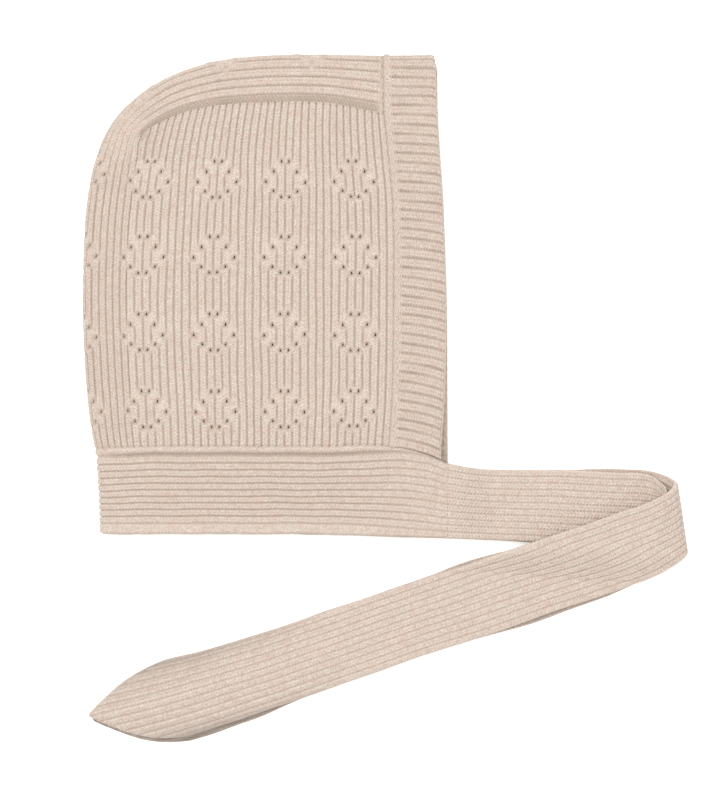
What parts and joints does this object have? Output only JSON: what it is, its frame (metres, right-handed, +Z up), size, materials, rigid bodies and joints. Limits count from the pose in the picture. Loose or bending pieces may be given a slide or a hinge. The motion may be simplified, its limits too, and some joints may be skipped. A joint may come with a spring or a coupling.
{
  "type": "baby bonnet",
  "caption": "Soft knitted bonnet for a baby's head: ribbed hood open at the face and the neck, with a deep neck band and two long pointed ties under the chin.",
  "frame": {"origin": "middle of the footprint of the whole, on the floor", "axes": "+X from the back of the head towards the face, +Y from the ties towards the crown, +Z up from the floor"},
  "size_m": [0.248, 0.282, 0.0147],
  "materials": {
    "rib_knit": "ribbed wool and cotton knit with pointelle eyelets, matt, faint melange",
    "band_knit": "close ribbed knit, matt, faint melange",
    "tie_knit": "soft ribbed knit, matt, faint melange"
  },
  "bodies": {
    "root": {"back_crown_strip": "rib_knit", "side_panel_near": "rib_knit", "side_panel_far": "rib_knit", "face_band": "band_knit", "neck_band": "band_knit", "tie_near": "tie_knit", "tie_far": "tie_knit"}
  },
  "joints": []
}
